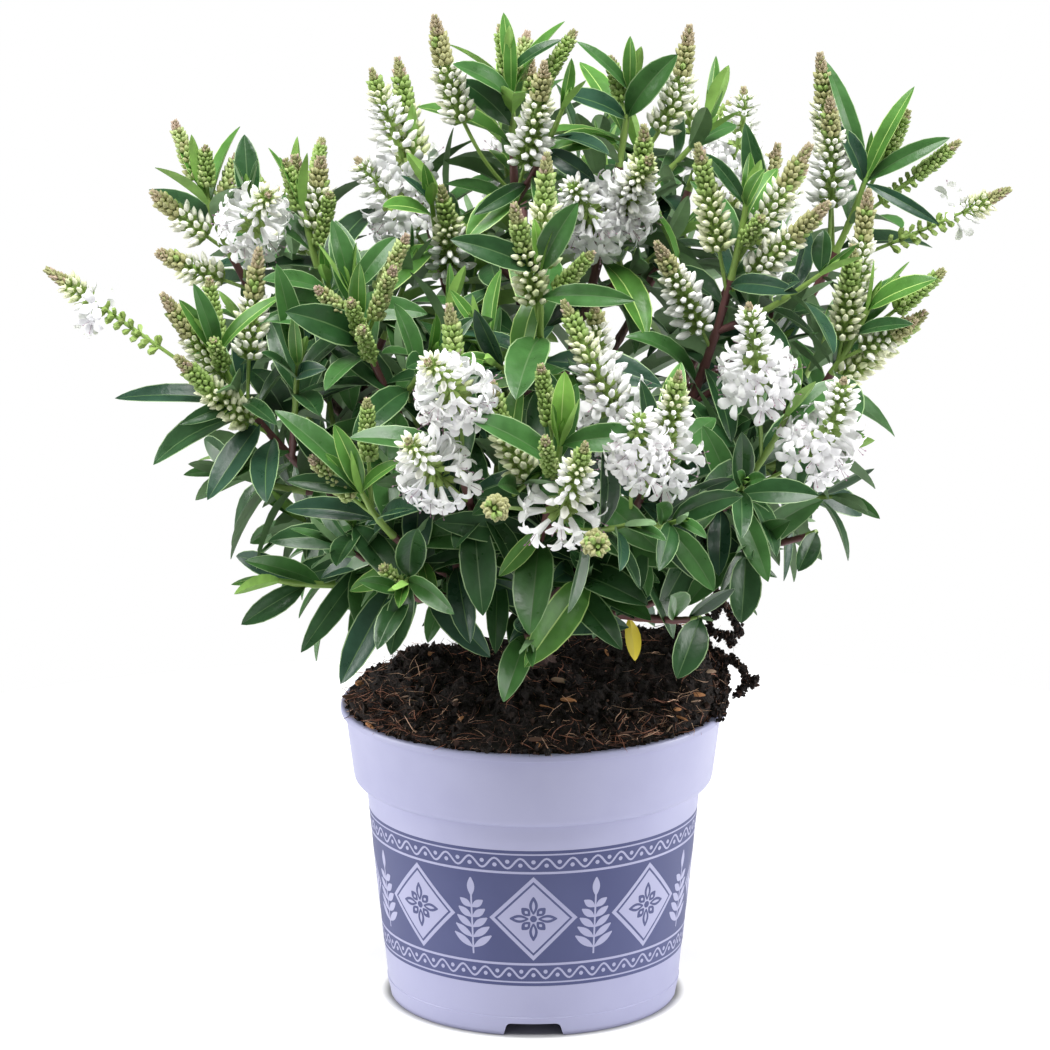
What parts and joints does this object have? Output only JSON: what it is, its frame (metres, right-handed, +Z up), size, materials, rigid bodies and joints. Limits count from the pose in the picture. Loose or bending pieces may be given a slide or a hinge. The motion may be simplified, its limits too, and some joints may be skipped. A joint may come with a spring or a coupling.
{
  "type": "potted hebe",
  "caption": "Bushy evergreen shrub in a round nursery pot: a short trunk, forking boughs, masses of lance-shaped leaves and white flower spikes.",
  "frame": {"origin": "on the ground, in the middle of the pot's flat foot", "axes": "+Z up along the pot's axis; the front of the plant faces -Y, with its longest flower spikes reaching out along -X and +X"},
  "size_m": [0.468, 0.3718, 0.491],
  "materials": {
    "pot": "moulded satin lavender plastic",
    "compost": "damp dark peat compost with bark chips",
    "bark": "purple-brown young bark",
    "foliage": "glossy dark green leaves and white flowers"
  },
  "bodies": {
    "root": {"pot": "pot", "compost": "compost", "trunk": "bark", "bough_crown_left": "bark", "bough_crown_right": "bark", "bough_back_crown_left": "bark", "bough_front_upper": "bark", "bough_right_mid": "bark", "bough_right_upper": "bark", "bough_low_right_front": "bark", "bough_back_right": "bark", "bough_right_top": "bark", "bough_back_low_right": "bark", "bough_right_low_front": "bark", "bough_front_right": "bark", "bough_low_front_right": "bark", "bough_front_left": "bark", "bough_front_center": "bark", "bough_low_front": "bark", "bough_left_front": "bark", "bough_low_left_front": "bark", "bough_left_front_upper": "bark", "bough_left_mid": "bark", "bough_low_left": "bark", "bough_left_top": "bark", "bough_left_upper": "bark", "bough_back_left": "bark", "bough_back_low_left": "bark", "bough_back_upper": "bark", "bough_back_crown_right": "bark", "mass_crown_left": "foliage", "mass_crown_right": "foliage", "mass_back_crown_left": "foliage", "mass_front_upper": "foliage", "mass_right_mid": "foliage", "mass_right_upper": "foliage", "mass_low_right_front": "foliage", "mass_back_right": "foliage", "mass_right_top": "foliage", "mass_back_low_right": "foliage", "mass_right_low_front": "foliage", "mass_front_right": "foliage", "mass_low_front_right": "foliage", "mass_front_left": "foliage", "mass_front_center": "foliage", "mass_low_front": "foliage", "mass_left_front": "foliage", "mass_low_left_front": "foliage", "mass_left_front_upper": "foliage", "mass_left_mid": "foliage", "mass_low_left": "foliage", "mass_left_top": "foliage", "mass_left_upper": "foliage", "mass_back_left": "foliage", "mass_back_low_left": "foliage", "mass_back_upper": "foliage", "mass_back_crown_right": "foliage"}
  },
  "joints": []
}
